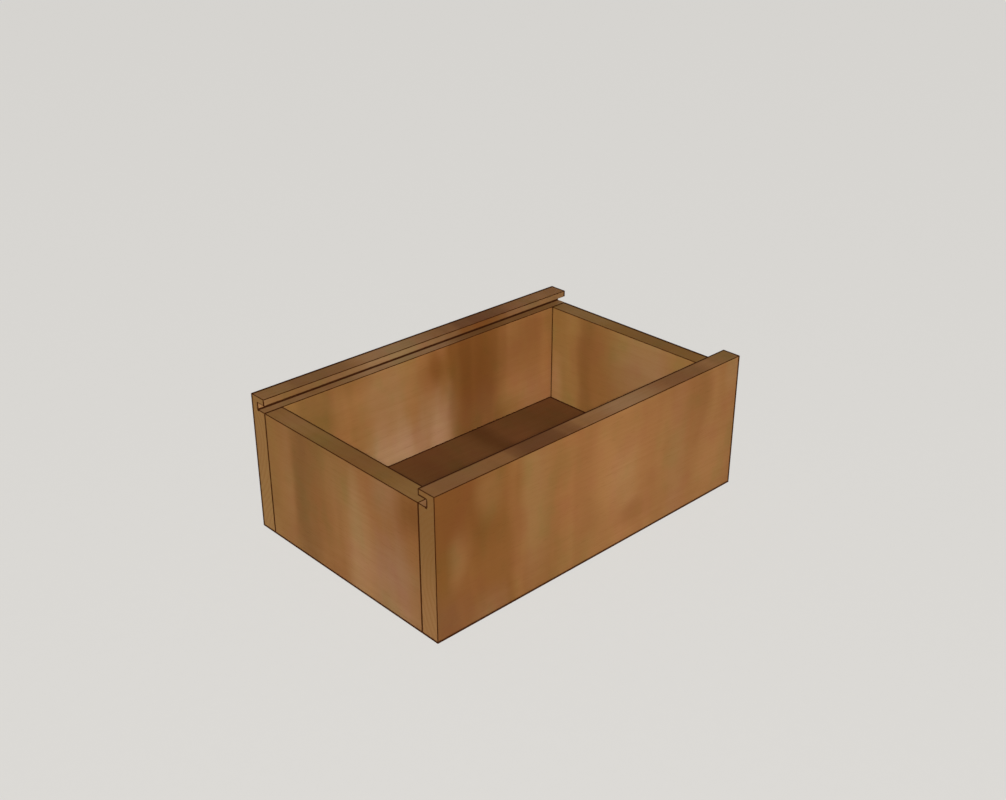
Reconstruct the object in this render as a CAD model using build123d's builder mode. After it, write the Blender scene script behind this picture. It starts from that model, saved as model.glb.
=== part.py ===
from build123d import *
import os

# Open keepsake box of planed boards, millimetres.
# Frame: origin on the table under the middle of the box, +X along the long sides
# towards the right end, +Y towards the back side, +Z up.

# The whole box
box_length = 368.3          # 14 1/2 in, along the sides
box_width = 241.3           # 9 1/2 in, over both sides
box_height = 133.35         # 5 1/4 in, the height of the sides

# Boards
side_thickness = 19.05      # 3/4 in
end_thickness = 19.05       # 3/4 in
bottom_thickness = 19.05    # 3/4 in
arris = 0.5                 # edges broken with sandpaper

# Groove for a sliding lid, cut the whole length of each side
groove_height = 6.35        # 1/4 in, for a lid panel of that thickness
groove_depth = 9.525        # 3/8 in into the side
lip_height = 6.35           # 1/4 in of side left above the groove

# Fluted dowel pins that hold the butt joints
dowel_diameter = 6.35       # 1/4 in
dowel_length = 31.75        # 1 1/4 in
dowel_bevel = 0.8           # at both ends
flute_count = 12            # V flutes side by side round the pin, to let the glue out
flute_depth = 0.4

# Blind holes for the pins
glue_clearance = 0.1        # around a pin
end_clearance = 1.0         # beyond each end of a pin
blind_skin = 7.0            # wood left between a hole and the outer face

# Spacing of the pins
corner_dowel_count = 3      # in each corner
corner_dowel_inset = 22.225  # outer pins from the top and bottom of an end
side_dowel_count = 3        # from the bottom into each side
side_dowel_inset = 63.5     # outer pins from the corners of the bottom
end_dowel_count = 2         # from the bottom into each end
end_dowel_inset = 50.8      # outer pins from the corners of the bottom

# Sizes that follow
inner_length = box_length - 2 * end_thickness
inner_width = box_width - 2 * side_thickness
groove_floor = box_height - lip_height - groove_height
end_height = groove_floor
hole_radius = dowel_diameter / 2 + glue_clearance


def spread(count, span, inset):
    """Places of a row of pins along a span that is centred on zero."""
    pitch = (span - 2 * inset) / (count - 1)
    return [inset - span / 2 + pitch * i for i in range(count)]


corner_heights = [end_height / 2 + z for z in spread(corner_dowel_count, end_height, corner_dowel_inset)]
side_places = spread(side_dowel_count, inner_length, side_dowel_inset)
end_places = spread(end_dowel_count, inner_width, end_dowel_inset)
bottom_middle = bottom_thickness / 2
end_middle = (box_length - end_thickness) / 2


# Each joint plane lies on the face of a side or an end and points inwards, out of that board.
def corner_planes(right, back):
    """Where the pins of one corner cross from the side into the end."""
    return [
        Plane(origin=(right * end_middle, back * inner_width / 2, z), z_dir=(0, -back, 0))
        for z in corner_heights
    ]


def side_planes(back):
    """Where the pins of the bottom cross into one side."""
    return [
        Plane(origin=(x, back * inner_width / 2, bottom_middle), z_dir=(0, -back, 0))
        for x in side_places
    ]


def end_planes(right):
    """Where the pins of the bottom cross into one end."""
    return [
        Plane(origin=(right * inner_length / 2, y, bottom_middle), z_dir=(-right, 0, 0))
        for y in end_places
    ]


def face_hole_depth(thickness):
    """Depth of a blind hole in the face of a board of this thickness."""
    return thickness - blind_skin


def edge_hole_depth(thickness):
    """Depth in the edge that meets a board of this thickness."""
    return dowel_length - face_hole_depth(thickness) + 2 * end_clearance


def turned(planes):
    """The same joint planes seen from the other board."""
    return [Plane(origin=p.origin, z_dir=-p.z_dir) for p in planes]


def ease(board):
    """Break every outer edge of a board, leaving the inside corners of a groove square."""
    chamfer(board.edges().filter_by(Edge.is_interior, reverse=True), arris)


def make_side(back):
    """A long side, grooved on its inner face; back is 1 for the back side and -1 for the front."""
    outer = back * box_width / 2
    inner = back * inner_width / 2
    groove_wall = inner + back * groove_depth
    with BuildPart() as side:
        with BuildSketch(Plane.YZ):
            with BuildLine():
                Polyline(
                    (outer, 0),
                    (inner, 0),
                    (inner, groove_floor),
                    (groove_wall, groove_floor),
                    (groove_wall, groove_floor + groove_height),
                    (inner, groove_floor + groove_height),
                    (inner, box_height),
                    (outer, box_height),
                    close=True,
                )
            make_face()
        extrude(amount=box_length / 2, both=True)
        ease(side)
        with Locations(corner_planes(-1, back), corner_planes(1, back), side_planes(back)):
            Hole(hole_radius, face_hole_depth(side_thickness))
    return side


def make_end(right):
    """An end board between the sides; right is 1 for the right end and -1 for the left."""
    with BuildPart() as end:
        with BuildSketch(Plane.YZ.offset(right * end_middle)):
            with Locations((0, end_height / 2)):
                Rectangle(inner_width, end_height)
        extrude(amount=end_thickness / 2, both=True)
        ease(end)
        with Locations(turned(corner_planes(right, -1)), turned(corner_planes(right, 1))):
            Hole(hole_radius, edge_hole_depth(side_thickness))
        with Locations(end_planes(right)):
            Hole(hole_radius, face_hole_depth(end_thickness))
    return end


def make_bottom():
    """The floor of the box, let in between the four walls and level with their lower edges."""
    with BuildPart() as bottom:
        with BuildSketch(Plane.XY):
            Rectangle(inner_length, inner_width)
        extrude(amount=bottom_thickness)
        ease(bottom)
        with Locations(turned(side_planes(-1)), turned(side_planes(1))):
            Hole(hole_radius, edge_hole_depth(side_thickness))
        with Locations(turned(end_planes(-1)), turned(end_planes(1))):
            Hole(hole_radius, edge_hole_depth(end_thickness))
    return bottom


def fluted_outline(radius):
    """Corners of a pin's section: ridges at this radius with a flute after each."""
    half_turn = 180 / flute_count
    ridge = Vector(radius, 0)
    flute = Vector(radius - flute_depth, 0)
    return [
        (flute if i % 2 else ridge).rotate(Axis.Z, half_turn * i)
        for i in range(2 * flute_count)
    ]


def make_dowels(planes, thickness):
    """One fluted pin at each joint plane, seated in a board of this thickness."""
    seat = face_hole_depth(thickness) - end_clearance
    full = dowel_diameter / 2
    tip = full - dowel_bevel
    rings = [(0, tip), (dowel_bevel, full), (dowel_length - dowel_bevel, full), (dowel_length, tip)]
    with BuildPart() as dowels:
        for plane in planes:
            for along, radius in rings:
                with BuildSketch(plane.offset(along - seat)):
                    Polygon(*fluted_outline(radius), align=None)
            loft(ruled=True)
    return dowels


pieces = {
    "front_side": make_side(-1),
    "back_side": make_side(1),
    "left_end": make_end(-1),
    "right_end": make_end(1),
    "bottom_board": make_bottom(),
    "front_left_dowels": make_dowels(corner_planes(-1, -1), side_thickness),
    "front_right_dowels": make_dowels(corner_planes(1, -1), side_thickness),
    "back_left_dowels": make_dowels(corner_planes(-1, 1), side_thickness),
    "back_right_dowels": make_dowels(corner_planes(1, 1), side_thickness),
    "bottom_front_dowels": make_dowels(side_planes(-1), side_thickness),
    "bottom_back_dowels": make_dowels(side_planes(1), side_thickness),
    "bottom_left_dowels": make_dowels(end_planes(-1), end_thickness),
    "bottom_right_dowels": make_dowels(end_planes(1), end_thickness),
}

os.makedirs("parts", exist_ok=True)
for name, piece in pieces.items():
    piece.part.label = name
    export_step(piece.part, f"parts/{name}.step")
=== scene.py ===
import bmesh
import bpy
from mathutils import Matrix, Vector


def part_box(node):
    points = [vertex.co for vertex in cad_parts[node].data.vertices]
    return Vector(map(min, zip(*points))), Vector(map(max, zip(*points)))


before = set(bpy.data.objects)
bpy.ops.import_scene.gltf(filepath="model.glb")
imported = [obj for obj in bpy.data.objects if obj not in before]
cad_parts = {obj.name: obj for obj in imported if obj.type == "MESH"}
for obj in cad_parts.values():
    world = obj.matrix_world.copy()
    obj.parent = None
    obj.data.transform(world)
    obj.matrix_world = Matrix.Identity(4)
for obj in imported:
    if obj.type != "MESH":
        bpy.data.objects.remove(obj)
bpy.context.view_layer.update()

# Dowel pins
# Fluted birch pins, turned and pressed, glued into blind holes across each butt joint.
# They stay bare and pale, and nothing of them shows once the box is together.


def add(tree, kind, sockets=(), **options):
    """Add a shader node, set its options, and set or link its input sockets."""
    made = tree.nodes.new("ShaderNode" + kind)
    for option, value in options.items():
        setattr(made, option, value)
    for socket, value in dict(sockets).items():
        if isinstance(value, bpy.types.NodeSocket):
            tree.links.new(value, made.inputs[socket])
        else:
            made.inputs[socket].default_value = value
    return made


def calc(tree, operation, *values):
    """One sum; each value is a number or the output of another node."""
    return add(tree, "Math", enumerate(values), operation=operation).outputs[0]


def vector_calc(tree, operation, *values):
    """The same for vectors."""
    return add(tree, "VectorMath", enumerate(values), operation=operation).outputs["Vector"]


def vector_size(tree, operation, *values):
    """A number taken from vectors, such as a length."""
    return add(tree, "VectorMath", enumerate(values), operation=operation).outputs["Value"]


def step(tree, value, low, high, start=0.0, end=1.0):
    """A smooth change from start to end while the value goes from low to high."""
    sockets = {"Value": value, "From Min": low, "From Max": high, "To Min": start, "To Max": end}
    return add(tree, "MapRange", sockets, interpolation_type="SMOOTHSTEP").outputs[0]


def noise(tree, place, per_metre, detail=2.0, roughness=0.5):
    """Even noise, with its own number of cells to the metre along each axis."""
    cells = vector_calc(tree, "MULTIPLY", place, per_metre)
    sockets = {"Vector": cells, "Scale": 1.0, "Detail": detail, "Roughness": roughness}
    return add(tree, "TexNoise", sockets).outputs


def wander(tree, place, per_metre, reach, detail):
    """A slow shift to and fro, with its own reach along each axis."""
    shift = noise(tree, place, per_metre, detail)["Color"]
    shift = vector_calc(tree, "SUBTRACT", shift, (0.5, 0.5, 0.5))
    return vector_calc(tree, "MULTIPLY", shift, reach)


def blend(tree, amount, under, over, mode="MIX"):
    """One colour over another."""
    return add(tree, "MixRGB", {0: amount, 1: under, 2: over}, blend_type=mode).outputs[0]


def new_group(name, inputs, outputs):
    """Start a shader node group; inputs and outputs give each socket's name and type."""
    tree = bpy.data.node_groups.new(name, "ShaderNodeTree")
    for title, kind in inputs.items():
        tree.interface.new_socket(title, in_out="INPUT", socket_type="NodeSocket" + kind)
    for title, kind in outputs.items():
        tree.interface.new_socket(title, in_out="OUTPUT", socket_type="NodeSocket" + kind)
    return tree, tree.nodes.new("NodeGroupInput").outputs, tree.nodes.new("NodeGroupOutput").inputs


def use_group(tree, group, **sockets):
    """Place a node group in a material and return its outputs."""
    return add(tree, "Group", sockets, node_tree=group).outputs


# Cells to the metre along the grain and across it, the bend of the rings in metres, and the levels
# at which a pore and a year's late wood set in.
BENDS_PER_M = (2.6, 11.0, 11.0)
BEND_REACH = (0.0, 0.034, 0.034)
FIBRES_PER_M = (14.0, 620.0, 620.0)
PORES_PER_M = (95.0, 2300.0, 2300.0)
PORE_LEVELS = (0.63, 0.74)
LATE_WOOD = (0.25, 0.88)
YEAR_END = (0.99, 0.9)


def wood_grain():
    """Solid wood: yearly rings round a pith along X, fine fibres and short dark pores."""
    tree, given, result = new_group(
        "wood_grain",
        {"Place": "Vector", "Ring_width": "Float"},
        {"Ring": "Float", "Fibre": "Float", "Pore": "Float"},
    )
    place = given["Place"]
    bend = wander(tree, place, BENDS_PER_M, BEND_REACH, detail=1.5)
    across = vector_calc(tree, "MULTIPLY", place, (0.0, 1.0, 1.0))
    radius = vector_size(tree, "LENGTH", vector_calc(tree, "ADD", across, bend))
    year = calc(tree, "FRACT", calc(tree, "DIVIDE", radius, given["Ring_width"]))
    late = calc(tree, "MULTIPLY", step(tree, year, *LATE_WOOD), step(tree, year, *YEAR_END))
    fibre = noise(tree, place, FIBRES_PER_M, detail=3.0, roughness=0.6)[0]
    pore = step(tree, noise(tree, place, PORES_PER_M, detail=1.0)[0], *PORE_LEVELS)
    tree.links.new(late, result["Ring"])
    tree.links.new(fibre, result["Fibre"])
    tree.links.new(pore, result["Pore"])
    return tree


def new_material(name):
    """An empty node material with its Principled shader."""
    material = bpy.data.materials.new(name)
    material.use_nodes = True
    return material, material.node_tree, material.node_tree.nodes["Principled BSDF"]


def clothe(node, material):
    """Give a board or a group of pins its only material."""
    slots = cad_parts[node].data.materials
    slots.clear()
    slots.append(material)


PIN_PALE = (0.58, 0.41, 0.25, 1.0)
PIN_DARK = (0.43, 0.27, 0.14, 1.0)
PIN_RING_WIDTH = 0.0016
PIN_FIBRE_LEVELS = (0.2, 0.8)
PIN_ROUGHNESS = (0.62, 0.75)

grain = wood_grain()
pin_wood, tree, shader = new_material("turned_birch")
place = add(tree, "TexCoord").outputs["Object"]
years = use_group(tree, grain, Place=place, Ring_width=PIN_RING_WIDTH)
streak = calc(tree, "MULTIPLY", years["Fibre"], years["Ring"])
roughness = step(tree, years["Fibre"], *PIN_FIBRE_LEVELS, *PIN_ROUGHNESS)
tree.links.new(blend(tree, streak, PIN_PALE, PIN_DARK), shader.inputs["Base Color"])
tree.links.new(roughness, shader.inputs["Roughness"])
for pins in [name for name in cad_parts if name.endswith("_dowels")]:
    clothe(pins, pin_wood)

# Bottom board
# One wide board let in between the four walls, level with their lower edges and doweled to them.
# It took the stain deepest, so it is the darkest piece and shows little figure.

DRIFTS_PER_M = (6.0, 8.0, 8.0)
DRIFT_REACH = (0.03, 0.0, 0.0)
CLOUDS_PER_M = (14.0, 4.0, 4.0)
RIPPLES_PER_M = (52.0, 5.0, 5.0)
SMUDGES_PER_M = (26.0, 20.0, 20.0)
HUES_PER_M = (38.0, 24.0, 24.0)
FIGURE_SHIFT = (3.7, 1.9, 0.6)


def cloudy_figure():
    """Soft bands across the grain, as on curly wood that has taken its stain unevenly."""
    tree, given, result = new_group(
        "cloudy_figure",
        {"Place": "Vector"},
        {"Cloud": "Float", "Ripple": "Float", "Smudge": "Float", "Hue": "Float"},
    )
    drift = wander(tree, given["Place"], DRIFTS_PER_M, DRIFT_REACH, detail=1.0)
    place = vector_calc(tree, "ADD", given["Place"], drift)
    shifted = vector_calc(tree, "ADD", place, FIGURE_SHIFT)
    tree.links.new(noise(tree, place, CLOUDS_PER_M, detail=1.0)[0], result["Cloud"])
    tree.links.new(noise(tree, shifted, RIPPLES_PER_M, detail=1.5)[0], result["Ripple"])
    tree.links.new(noise(tree, shifted, SMUDGES_PER_M, detail=1.0)[0], result["Smudge"])
    tree.links.new(noise(tree, shifted, HUES_PER_M, detail=2.0)[0], result["Hue"])
    return tree


BAND_LEVELS = (0.3, 0.7)
CLOUD_TAN = (0.3, 0.8)
RIPPLE_DARK = 0.22
MARK_SWAY = 0.014
MARK_FRAY = 0.8
MARK_CORE = 0.1
SMUDGE_LEVELS = (0.35, 0.6)
SMUDGE_DARK = 0.16
GREEN_LEVELS = (0.5, 0.7)
GREEN_CAST = (0.91, 1.0, 0.93, 1.0)
RED_LEVELS = (0.5, 0.3)
RED_CAST = (1.0, 0.94, 1.0, 1.0)


def uneven_stain(tree, cloud, along, up, stain, marks):
    """Stain in soft bands and ripples, then a board's own marks, smudges and casts of colour."""
    tan_share = step(tree, cloud["Cloud"], *BAND_LEVELS, *CLOUD_TAN)
    colour = blend(tree, tan_share, stain["brown"], stain["tan"])
    ripple = step(tree, cloud["Ripple"], *BAND_LEVELS, RIPPLE_DARK, 0.0)
    colour = blend(tree, ripple, colour, stain["umber"])
    sway = calc(tree, "MULTIPLY_ADD", cloud["Smudge"], MARK_SWAY, -MARK_SWAY / 2)
    fray = calc(tree, "MULTIPLY_ADD", cloud["Ripple"], MARK_FRAY, -MARK_FRAY / 2)
    station = add(tree, "CombineXYZ", {0: calc(tree, "ADD", along, sway), 1: up}).outputs[0]
    for tone, middle, reach, strength in marks:
        away = vector_calc(tree, "SUBTRACT", station, (*middle, 0.0))
        away = vector_size(tree, "LENGTH", vector_calc(tree, "DIVIDE", away, (*reach, 1.0)))
        away = calc(tree, "ADD", away, fray)
        colour = blend(tree, step(tree, away, MARK_CORE, 1.0, strength, 0.0), colour, stain[tone])
    smudge = step(tree, cloud["Smudge"], *SMUDGE_LEVELS, SMUDGE_DARK, 0.0)
    colour = blend(tree, smudge, colour, stain["umber"])
    colour = blend(tree, step(tree, cloud["Hue"], *GREEN_LEVELS), colour, GREEN_CAST, "MULTIPLY")
    return blend(tree, step(tree, cloud["Hue"], *RED_LEVELS), colour, RED_CAST, "MULTIPLY")


RING_DARK = 0.07
END_RING_MORE = 0.2
FIBRE_LEVELS = (0.3, 0.72)
FIBRE_DARK = 0.08
PORE_DARK = 0.14


def show_grain(tree, colour, years, end_grain, stain):
    """Darken a colour a little by fibres, pores and yearly rings, which show most on end grain."""
    ring_dark = calc(tree, "MULTIPLY_ADD", end_grain, END_RING_MORE, RING_DARK)
    colour = blend(tree, calc(tree, "MULTIPLY", years["Ring"], ring_dark), colour, stain["umber"])
    fibre = step(tree, years["Fibre"], *FIBRE_LEVELS, FIBRE_DARK, 0.0)
    colour = blend(tree, fibre, colour, stain["umber"])
    return blend(tree, calc(tree, "MULTIPLY", years["Pore"], PORE_DARK), colour, stain["edge"])


# Widths of the dark lines on most edges, along the foot, and towards the right and the back.
LINE_WIDTH = 0.00058
FOOT_LINE = 0.0025
FAR_LINES = (0.0018, 0.0014)
LINE_RIM = (1.3, 0.7)


def arris_line():
    """Dark line along each edge, where stain gathers, or along a groove's inner corner as painted
    shade. Depths in from three faces count line widths.
    """
    tree, given, result = new_group("arris_line", {"Depths": "Vector"}, {"Line": "Float"})
    depths = add(tree, "SeparateXYZ", {0: given["Depths"]}).outputs
    nearer = calc(tree, "MINIMUM", depths[0], depths[1])
    farther = calc(tree, "MAXIMUM", depths[0], depths[1])
    edge = calc(tree, "MAXIMUM", nearer, calc(tree, "MINIMUM", farther, depths[2]))
    tree.links.new(step(tree, edge, *LINE_RIM), result["Line"])
    return tree


def depths_in_box(tree, place, facing_up, box, far_lines, upper_far_lines):
    """Depths of a point on a board in from the nearer face along each axis, in that face's line widths.

    Lines towards the right and the back are wider, and have other widths on upward faces.
    """
    low, high = box
    near = (LINE_WIDTH, LINE_WIDTH, FOOT_LINE)
    standing = Vector((*far_lines, LINE_WIDTH))
    more = Vector((*upper_far_lines, LINE_WIDTH)) - standing
    far = vector_calc(tree, "MULTIPLY_ADD", facing_up, tuple(more), tuple(standing))
    from_low = vector_calc(tree, "DIVIDE", vector_calc(tree, "SUBTRACT", place, tuple(low)), near)
    from_high = vector_calc(tree, "DIVIDE", vector_calc(tree, "SUBTRACT", tuple(high), place), far)
    return vector_calc(tree, "MINIMUM", from_low, from_high)


def between(tree, share, first, last):
    """A number some share of the way from the first to the last."""
    return add(tree, "Mix", {0: share, 2: first, 3: last}, data_type="FLOAT").outputs[0]


SATIN_LEVELS = (0.25, 0.75)
SATIN_ROUGHNESS = (0.6, 0.5)
SATIN_SHEEN = 0.06
PORE_DULLNESS = 0.4
FIBRE_RELIEF = 0.5
RELIEF_STRENGTH = 0.35
RELIEF_DEPTH = 0.00012


def satin_finish(tree, shader, years, line):
    """A thin satin coat over open grain, duller in the pores and along the dark lines."""
    satin = step(tree, years["Fibre"], *SATIN_LEVELS, *SATIN_ROUGHNESS)
    dull = calc(tree, "MAXIMUM", line, calc(tree, "MULTIPLY", years["Pore"], PORE_DULLNESS))
    tree.links.new(between(tree, dull, satin, 1.0), shader.inputs["Roughness"])
    shader.inputs["Specular IOR Level"].default_value = SATIN_SHEEN
    relief = calc(tree, "SUBTRACT", calc(tree, "MULTIPLY", years["Fibre"], FIBRE_RELIEF), years["Pore"])
    bump = add(tree, "Bump", {"Height": relief, "Strength": RELIEF_STRENGTH, "Distance": RELIEF_DEPTH})
    tree.links.new(bump.outputs[0], shader.inputs["Normal"])


figure = cloudy_figure()
arris = arris_line()

RING_WIDTH = 0.0043
UPWARD = (0.5, 0.9)
ENDWARD = (0.6, 0.9)
END_STAIN = 0.7
END_TONE_RISE = 0.11
# Painted shade: upward faces are made darker and warmer, standing in for the weaker light that falls on
# them.
UPWARD_PAINTED_SHADE = (0.86, 0.835, 0.75, 1.0)
LINE_DARK = 0.97
TOP = 1.0


def stained_board(
    node, along, rise, pith, stain, marks,
    more_edges=None, far_lines=FAR_LINES, upper_far_lines=FAR_LINES, end_tones=("straw", "honey"),
):
    """Clothe one board in satin stained wood, with its grain along one axis.

    A mark is a tone, its middle and its reach along and up the board, and its strength. At the height
    TOP it lies on the upper edge of a standing board. The end tones are those of the end grain, at the
    foot and higher up.
    """
    material, tree, shader = new_material(node + "_wood")
    where = add(tree, "TexCoord").outputs
    place = where["Object"]
    axes = add(tree, "SeparateXYZ", {0: place}).outputs
    facing = add(tree, "SeparateXYZ", {0: where["Normal"]}).outputs
    facing_up = step(tree, facing["Z"], *UPWARD)
    end_grain = step(tree, calc(tree, "ABSOLUTE", facing[along]), *ENDWARD)

    # The grain runs round the board's own pith, which also gives each board its own clouds.
    grained = place
    if along == "Y":
        grained = add(tree, "CombineXYZ", {0: axes["Y"], 1: axes["X"], 2: axes["Z"]}).outputs[0]
    from_pith = vector_calc(tree, "SUBTRACT", grained, pith)
    in_clouds = vector_calc(tree, "ADD", grained, (pith[2], pith[1], pith[2]))
    years = use_group(tree, grain, Place=from_pith, Ring_width=RING_WIDTH)
    cloud = use_group(tree, figure, Place=in_clouds)

    # Stain, with its own tones on the end grain, then the grain in it. Upward faces get a painted
    # shade, a little darker and warmer.
    up = axes[rise]
    if rise == "Z":
        up = calc(tree, "MULTIPLY_ADD", facing_up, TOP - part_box(node)[1].z, up)
    colour = uneven_stain(tree, cloud, axes[along], up, stain, marks)
    low_tone, high_tone = [stain[tone] for tone in end_tones]
    end_tone = blend(tree, step(tree, axes["Z"], 0.0, END_TONE_RISE), low_tone, high_tone)
    colour = blend(tree, calc(tree, "MULTIPLY", end_grain, END_STAIN), colour, end_tone)
    colour = show_grain(tree, colour, years, end_grain, stain)
    colour = blend(tree, facing_up, colour, UPWARD_PAINTED_SHADE, "MULTIPLY")

    # Stain gathers on every arris; the dark line in a groove's inner corner is painted shade.
    depths = depths_in_box(tree, place, facing_up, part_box(node), far_lines, upper_far_lines)
    line = use_group(tree, arris, Depths=depths)["Line"]
    for depths in more_edges(tree, place) if more_edges else []:
        line = calc(tree, "MAXIMUM", line, use_group(tree, arris, Depths=depths)["Line"])
    colour = blend(tree, calc(tree, "MULTIPLY", line, LINE_DARK), colour, stain["edge"])
    tree.links.new(colour, shader.inputs["Base Color"])
    satin_finish(tree, shader, years, line)
    clothe(node, material)


DARK_STAIN = {
    "umber": (0.127, 0.05, 0.016, 1.0),
    "brown": (0.157, 0.066, 0.023, 1.0),
    "tan": (0.205, 0.091, 0.033, 1.0),
    "red": (0.22, 0.085, 0.032, 1.0),
    "honey": (0.175, 0.076, 0.027, 1.0),
    "straw": (0.205, 0.091, 0.033, 1.0),
    "edge": (0.034, 0.007, 0.0005, 1.0),
}
stained_board(
    "bottom_board",
    along="X",
    rise="Y",
    pith=(0.0, 0.02, -0.09),
    stain=DARK_STAIN,
    marks=[
        ("umber", (-0.015, 0.085), (0.04, 0.3), 0.3),
        ("tan", (0.026, 0.085), (0.018, 0.3), 0.55),
        ("umber", (0.054, 0.085), (0.021, 0.3), 0.8),
        ("red", (0.082, 0.085), (0.022, 0.3), 0.5),
    ],
    upper_far_lines=(0.0026, 0.0024),
)

# Ends
# Two boards let in between the sides, grain lengthwise, each doweled at its edges and to the bottom.
# Their tops stop level with the floor of the lid grooves, so that a lid can pass over them.

STAIN = {
    "bistre": (0.177, 0.061, 0.013, 1.0),
    "umber": (0.22, 0.085, 0.018, 1.0),
    "brown": (0.265, 0.111, 0.031, 1.0),
    "olive": (0.325, 0.162, 0.054, 1.0),
    "tan": (0.405, 0.188, 0.063, 1.0),
    "red": (0.357, 0.145, 0.047, 1.0),
    "pink": (0.362, 0.188, 0.094, 1.0),
    "pale": (0.4, 0.213, 0.088, 1.0),
    "cream": (0.455, 0.264, 0.133, 1.0),
    # A pale tone, used only as painted light on a groove floor.
    "painted_light_ivory": (0.56, 0.34, 0.185, 1.0),
    "amber": (0.305, 0.15, 0.022, 1.0),
    "honey": (0.3, 0.152, 0.039, 1.0),
    "straw": (0.355, 0.19, 0.057, 1.0),
    "flax": (0.4, 0.203, 0.074, 1.0),
    "bran": (0.251, 0.13, 0.039, 1.0),
    "cocoa": (0.2, 0.085, 0.036, 1.0),
    "moss": (0.3, 0.168, 0.052, 1.0),
    "dun": (0.225, 0.122, 0.05, 1.0),
    "walnut": (0.2, 0.092, 0.024, 1.0),
    "edge": (0.038, 0.008, 0.0005, 1.0),
}
stained_board(
    "left_end",
    along="Y",
    rise="Z",
    pith=(0.0, -0.25, 0.045),
    stain=STAIN,
    marks=[
        ("brown", (0.0, 0.12), (0.4, 0.09), 0.5),
        ("umber", (0.06, 0.12), (0.12, 0.06), 0.3),
        ("honey", (0.095, 0.04), (0.03, 0.2), 0.7),
        ("olive", (0.072, 0.08), (0.014, 0.2), 0.5),
        ("walnut", (0.046, 0.07), (0.03, 0.4), 0.65),
        ("walnut", (0.054, 0.06), (0.013, 0.3), 0.35),
        ("umber", (0.026, 0.055), (0.028, 0.05), 0.45),
        ("red", (0.03, 0.055), (0.03, 0.04), 0.2),
        ("moss", (0.0, 0.095), (0.036, 0.055), 0.5),
        ("pale", (-0.027, 0.035), (0.03, 0.1), 0.9),
        ("pink", (-0.07, 0.04), (0.045, 0.06), 0.9),
        ("cream", (-0.08, 0.005), (0.045, 0.03), 0.5),
        ("straw", (0.085, 0.0), (0.05, 0.035), 0.5),
        ("pink", (-0.06, 0.108), (0.03, 0.035), 0.45),
        ("umber", (-0.094, 0.108), (0.026, 0.036), 0.85),
        ("bistre", (-0.095, 0.106), (0.022, 0.026), 0.5),
        ("honey", (0.0, TOP), (0.6, 0.03), 1.0),
        # This pale mark is partly painted light, offsetting the shade of the back side's lip near this
        # end of the top.
        ("pale", (0.085, TOP), (0.07, 0.03), 0.6),
        ("umber", (-0.025, TOP), (0.06, 0.03), 0.55),
        ("pale", (-0.09, TOP), (0.03, 0.03), 0.2),
    ],
)
stained_board(
    "right_end",
    along="Y",
    rise="Z",
    pith=(0.0, 0.26, 0.075),
    stain=STAIN,
    marks=[
        ("moss", (0.0, 0.07), (0.4, 0.4), 0.8),
        ("honey", (0.09, 0.11), (0.03, 0.05), 0.5),
        ("moss", (0.08, 0.04), (0.035, 0.06), 0.6),
        ("pale", (0.095, 0.04), (0.014, 0.04), 0.5),
        ("walnut", (0.095, 0.115), (0.02, 0.05), 0.2),
        ("straw", (0.068, 0.085), (0.016, 0.12), 0.65),
        ("brown", (0.042, 0.07), (0.036, 0.3), 0.75),
        ("walnut", (0.051, 0.07), (0.014, 0.3), 0.45),
        ("red", (0.03, 0.045), (0.02, 0.04), 0.25),
        ("brown", (0.015, 0.04), (0.045, 0.06), 0.35),
        ("pink", (-0.03, 0.08), (0.06, 0.08), 0.5),
        ("tan", (-0.07, 0.03), (0.06, 0.05), 0.6),
        ("amber", (0.0, TOP), (0.6, 0.03), 1.0),
        ("straw", (0.085, TOP), (0.07, 0.03), 0.9),
        ("umber", (-0.025, TOP), (0.08, 0.03), 0.45),
    ],
    far_lines=(0.0018, 0.0018),
    upper_far_lines=(0.0032, 0.0014),
)

# Sides
# Two long boards, grain lengthwise, doweled over the ends and the bottom; a lid groove is ploughed
# the whole length of each inner face and leaves a thin lip along the top.

GROOVE_HEIGHT = 0.00635
GROOVE_DEPTH = 0.009525
FRONT_END_LINE = 0.0018
BACK_END_LINE = 0.00105
END_LINE_REACH = (LINE_WIDTH, 1.5 * LINE_WIDTH)
# Width of the painted shade line in a groove's inner corner.
CORNER_SHADE_LINE = 0.00125
groove_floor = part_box("left_end")[1].z
# The height at which a mark lies on the floor of a groove.
GROOVE_STATION = TOP - (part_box("front_side")[1].z - groove_floor)


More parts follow.
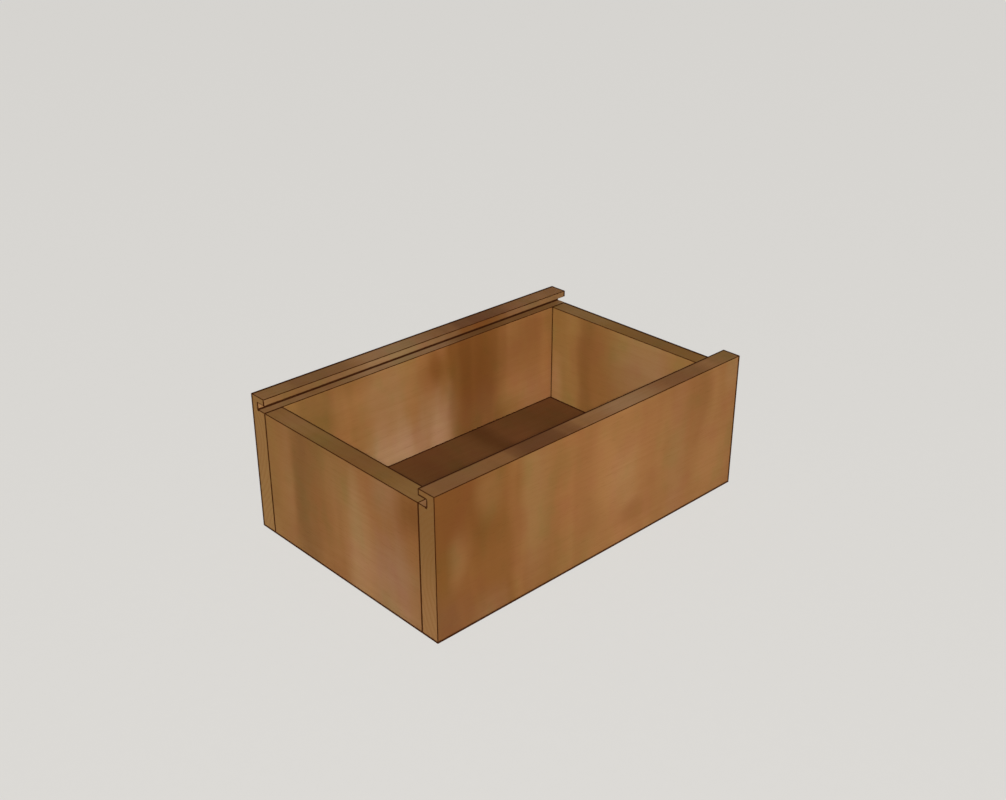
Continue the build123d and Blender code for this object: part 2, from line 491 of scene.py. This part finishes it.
def groove_edges(inner, outwards, end_line):
    """Depths in from a groove, its board's ends and inner face, and from the groove's inner corner.

    The lines round the lip are wider on its end grain, and a dark line of painted shade runs along the
    groove's inner corner.
    """
    back_wall = inner + outwards * GROOVE_DEPTH
    middle = (0.0, inner + outwards * GROOVE_DEPTH / 2, groove_floor + GROOVE_HEIGHT / 2)
    half = (0.0, GROOVE_DEPTH / 2, GROOVE_HEIGHT / 2)
    board_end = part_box("front_side")[1].x

    def depths(tree, place):
        from_middle = vector_calc(tree, "ABSOLUTE", vector_calc(tree, "SUBTRACT", place, middle))
        apart = vector_calc(tree, "SUBTRACT", from_middle, half)
        apart = vector_calc(tree, "MAXIMUM", apart, (0.0, 0.0, 0.0))
        from_groove = vector_size(tree, "LENGTH", vector_calc(tree, "MULTIPLY", apart, (0.0, 1.0, 1.0)))
        axes = add(tree, "SeparateXYZ", {0: place}).outputs
        from_end = calc(tree, "SUBTRACT", board_end, calc(tree, "ABSOLUTE", axes["X"]))
        from_face = calc(tree, "ABSOLUTE", calc(tree, "SUBTRACT", axes["Y"], inner))
        from_floor = calc(tree, "ABSOLUTE", calc(tree, "SUBTRACT", axes["Z"], groove_floor))
        from_back = calc(tree, "ABSOLUTE", calc(tree, "SUBTRACT", axes["Y"], back_wall))
        lip_line = step(tree, from_end, *END_LINE_REACH, end_line, LINE_WIDTH)
        on_lip = step(tree, axes["Z"], groove_floor, groove_floor + LINE_WIDTH)
        line = between(tree, on_lip, LINE_WIDTH, lip_line)
        edges = add(tree, "CombineXYZ", {
            0: calc(tree, "DIVIDE", from_groove, line),
            1: calc(tree, "DIVIDE", from_end, LINE_WIDTH),
            2: calc(tree, "DIVIDE", from_face, line),
        })
        # Painted shade: a dark line where the groove's floor meets its back wall.
        corner_shade = add(tree, "CombineXYZ", {
            0: calc(tree, "DIVIDE", from_floor, CORNER_SHADE_LINE),
            1: calc(tree, "DIVIDE", from_back, CORNER_SHADE_LINE),
            2: GROOVE_DEPTH / CORNER_SHADE_LINE,
        })
        return edges.outputs[0], corner_shade.outputs[0]

    return depths


stained_board(
    "front_side",
    along="X",
    rise="Z",
    pith=(0.0, -0.18, 0.05),
    stain=STAIN,
    marks=[
        ("umber", (-0.185, 0.09), (0.15, 0.5), 0.95),
        ("umber", (-0.116, 0.06), (0.036, 0.2), 0.68),
        ("bistre", (-0.172, 0.115), (0.07, 0.08), 0.75),
        ("pale", (-0.161, 0.066), (0.017, 0.04), 0.32),
        ("olive", (-0.127, 0.116), (0.023, 0.036), 0.42),
        ("red", (-0.12, 0.045), (0.04, 0.04), 0.15),
        ("olive", (-0.078, 0.1), (0.026, 0.13), 0.9),
        ("red", (-0.03, 0.1), (0.04, 0.09), 0.6),
        ("brown", (-0.018, 0.07), (0.02, 0.12), 0.3),
        ("tan", (0.025, 0.075), (0.05, 0.13), 0.8),
        ("pale", (0.03, 0.065), (0.03, 0.05), 0.35),
        ("red", (0.063, 0.08), (0.02, 0.1), 0.5),
        ("umber", (0.04, 0.027), (0.026, 0.018), 0.35),
        ("brown", (0.125, 0.11), (0.045, 0.05), 0.55),
        ("brown", (0.12, 0.05), (0.016, 0.1), 0.25),
        ("red", (0.11, 0.095), (0.03, 0.07), 0.5),
        ("tan", (0.155, 0.03), (0.05, 0.05), 0.6),
        ("pale", (0.178, 0.125), (0.016, 0.03), 0.5),
        ("pale", (0.1, 0.05), (0.02, 0.15), 0.25),
        ("pink", (-0.127, 0.005), (0.03, 0.03), 0.3),
        ("cocoa", (-0.17, 0.01), (0.05, 0.05), 0.5),
        ("brown", (-0.14, TOP), (0.08, 0.01), 0.6),
        ("bistre", (-0.068, TOP), (0.06, 0.01), 1.0),
        ("dun", (-0.165, TOP), (0.06, 0.01), 0.4),
        ("edge", (-0.062, TOP), (0.045, 0.01), 0.12),
        ("cream", (0.037, TOP), (0.06, 0.01), 0.55),
        ("brown", (0.11, TOP), (0.05, 0.01), 0.8),
        ("honey", (0.17, TOP), (0.03, 0.01), 0.7),
        # Painted light: a pale strip along the groove floor, against the shade under the lip.
        ("pale", (0.0, GROOVE_STATION), (0.6, 0.008), 0.8),
    ],
    more_edges=groove_edges(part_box("front_side")[1].y, -1, FRONT_END_LINE),
    far_lines=(0.0025, 0.0012),
    upper_far_lines=(0.0025, 0.0021),
    end_tones=("flax", "bran"),
)
stained_board(
    "back_side",
    along="X",
    rise="Z",
    pith=(0.0, 0.19, 0.085),
    stain=STAIN,
    marks=[
        ("pale", (-0.183, 0.07), (0.012, 0.2), 0.8),
        ("moss", (-0.135, 0.1), (0.055, 0.06), 0.75),
        ("walnut", (-0.13, 0.105), (0.04, 0.06), 0.5),
        ("pale", (-0.05, 0.08), (0.045, 0.1), 0.8),
        ("walnut", (-0.095, 0.122), (0.065, 0.025), 0.45),
        ("cream", (-0.04, 0.025), (0.05, 0.055), 1.0),
        ("red", (-0.085, 0.065), (0.03, 0.035), 0.4),
        ("cream", (0.008, 0.03), (0.042, 0.07), 0.9),
        ("umber", (0.008, 0.101), (0.028, 0.025), 0.8),
        ("umber", (0.034, 0.112), (0.022, 0.045), 0.8),
        ("umber", (0.06, 0.08), (0.048, 0.5), 0.85),
        ("bistre", (0.047, 0.08), (0.027, 0.5), 0.8),
        ("bistre", (0.074, 0.08), (0.034, 0.4), 0.6),
        ("pink", (0.062, 0.03), (0.05, 0.05), 0.16),
        ("tan", (0.125, 0.045), (0.045, 0.06), 0.75),
        ("pink", (0.14, 0.03), (0.05, 0.05), 0.25),
        ("brown", (0.14, 0.12), (0.06, 0.09), 0.5),
        ("dun", (0.0, 0.131), (0.6, 0.012), 0.9),
        ("walnut", (-0.145, 0.131), (0.06, 0.012), 0.4),
        ("cream", (-0.042, 0.131), (0.06, 0.012), 0.38),
        ("bistre", (0.068, 0.131), (0.055, 0.012), 0.95),
        ("moss", (-0.165, TOP), (0.03, 0.01), 0.5),
        ("walnut", (-0.12, TOP), (0.055, 0.01), 0.6),
        ("cream", (-0.037, TOP), (0.06, 0.01), 0.55),
        ("bistre", (0.072, TOP), (0.058, 0.01), 1.0),
        # Painted light: pale, cream and ivory strips lighten the groove floor against the shade under
        # the lip.
        ("pale", (0.0, GROOVE_STATION), (0.6, 0.008), 0.8),
        ("cream", (-0.03, GROOVE_STATION), (0.12, 0.008), 0.9),
        ("painted_light_ivory", (-0.025, GROOVE_STATION), (0.08, 0.008), 0.7),
        ("cream", (-0.16, GROOVE_STATION), (0.04, 0.008), 0.5),
        ("bistre", (0.065, GROOVE_STATION), (0.05, 0.008), 0.55),
        ("umber", (0.13, GROOVE_STATION), (0.07, 0.008), 0.3),
    ],
    more_edges=groove_edges(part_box("back_side")[0].y, 1, BACK_END_LINE),
    far_lines=(0.0025, 0.0026),
    upper_far_lines=(0.0025, 0.0031),
)

# Floor, light and camera
# A pale grey sheet under and behind the box. Two small lamps hang where the viewer stands, one of
# which casts no shadow, and a low band of soft light behind the box fills the far faces.

BACKDROP = (0.694, 0.679, 0.651, 1.0)
PAPER_DARK = (0.075, 0.073, 0.07, 1.0)
PAPER_PALE = (0.085, 0.083, 0.08, 1.0)
PAPER_ROUGHNESS = 0.9
FLECKS_PER_M = (90.0, 90.0, 90.0)
FLOOR_RADIUS = 14.0
FLOOR_SIDES = 96
FLOOR_GAP = 0.0002
FLOOR_GLOW = 0.93
FLOOR_BOUNCE = 0.36

floor_mesh = bpy.data.meshes.new("floor")
disc = bmesh.new()
bmesh.ops.create_circle(disc, cap_ends=True, segments=FLOOR_SIDES, radius=FLOOR_RADIUS)
disc.to_mesh(floor_mesh)
disc.free()
floor = bpy.data.objects.new("floor", floor_mesh)
floor.location.z = -FLOOR_GAP
bpy.context.scene.collection.objects.link(floor)


def seen_directly(tree):
    """1 where the camera, a reflection or a clear pane looks straight at the backdrop."""
    path = add(tree, "LightPath").outputs
    seen = calc(tree, "MAXIMUM", path["Is Camera Ray"], path["Is Glossy Ray"])
    return calc(tree, "MAXIMUM", seen, path["Is Transmission Ray"])


paper, tree, shader = new_material("backdrop_paper")
fleck = noise(tree, add(tree, "TexCoord").outputs["Object"], FLECKS_PER_M)[0]
tree.links.new(blend(tree, fleck, PAPER_DARK, PAPER_PALE), shader.inputs["Base Color"])
shader.inputs["Roughness"].default_value = PAPER_ROUGHNESS
shader.inputs["Specular IOR Level"].default_value = 0.0
shader.inputs["Emission Color"].default_value = BACKDROP
glow = calc(tree, "MULTIPLY_ADD", seen_directly(tree), FLOOR_GLOW - FLOOR_BOUNCE, FLOOR_BOUNCE)
tree.links.new(glow, shader.inputs["Emission Strength"])
floor_mesh.materials.append(paper)

# The band of light ends at a height given as the sine of the look upwards.
BAND_TOP = 0.12
BAND_FADE = 0.2
ABOVE_BAND = 0.04
BAND_BEFORE = 0.7
BAND_BEHIND = 3.0
BAND_TURN = (-0.4, 0.7)
REARWARD = (0.69, 0.72, 0.0)
HORIZON = (0.655, 0.641, 0.614, 1.0)

world = bpy.data.worlds.new("studio")
world.use_nodes = True
bpy.context.scene.world = world
tree = world.node_tree
look = add(tree, "TexCoord").outputs["Generated"]
height = add(tree, "SeparateXYZ", {0: look}).outputs["Z"]
low_band = step(tree, height, BAND_TOP, BAND_TOP + BAND_FADE, 1.0, ABOVE_BAND)
turn = vector_size(tree, "DOT_PRODUCT", look, REARWARD)
level = step(tree, turn, *BAND_TURN, BAND_BEFORE, BAND_BEHIND)
shown = blend(tree, seen_directly(tree), calc(tree, "MULTIPLY", low_band, level), HORIZON)
tree.links.new(shown, tree.nodes["Background"].inputs["Color"])

CAMERA_PLACE = Vector((-0.70245, -0.74225, 0.61371))
CAMERA_AIM = Vector((0.0607, 0.06405, 0.0635))
LENS_MM = 45.6
SENSOR_MM = 36.0
KEY_WATTS = 26.3
FILL_WATTS = 17.2
LAMP_RADIUS = 0.012


def hang_lamp(name, watts, casts_shadow):
    """A small round lamp at the camera's place that is as bright far off as near."""
    lamp = bpy.data.lights.new(name, "POINT")
    lamp.energy = watts
    lamp.use_shadow = casts_shadow
    lamp.shadow_soft_size = LAMP_RADIUS
    lamp.use_nodes = True
    tree = lamp.node_tree
    even = add(tree, "LightFalloff", {"Strength": 1.0}).outputs["Constant"]
    tree.links.new(even, tree.nodes["Emission"].inputs["Strength"])
    hung = bpy.data.objects.new(name, lamp)
    hung.location = CAMERA_PLACE
    bpy.context.scene.collection.objects.link(hung)


hang_lamp("key_lamp", KEY_WATTS, True)
hang_lamp("fill_lamp", FILL_WATTS, False)

eye = bpy.data.cameras.new("camera")
eye.lens = LENS_MM
eye.sensor_width = SENSOR_MM
camera = bpy.data.objects.new("camera", eye)
camera.location = CAMERA_PLACE
camera.rotation_mode = "QUATERNION"
camera.rotation_quaternion = (CAMERA_AIM - CAMERA_PLACE).to_track_quat("-Z", "Y")
bpy.context.scene.collection.objects.link(camera)
bpy.context.scene.camera = camera
bpy.context.scene.view_settings.view_transform = "Standard"
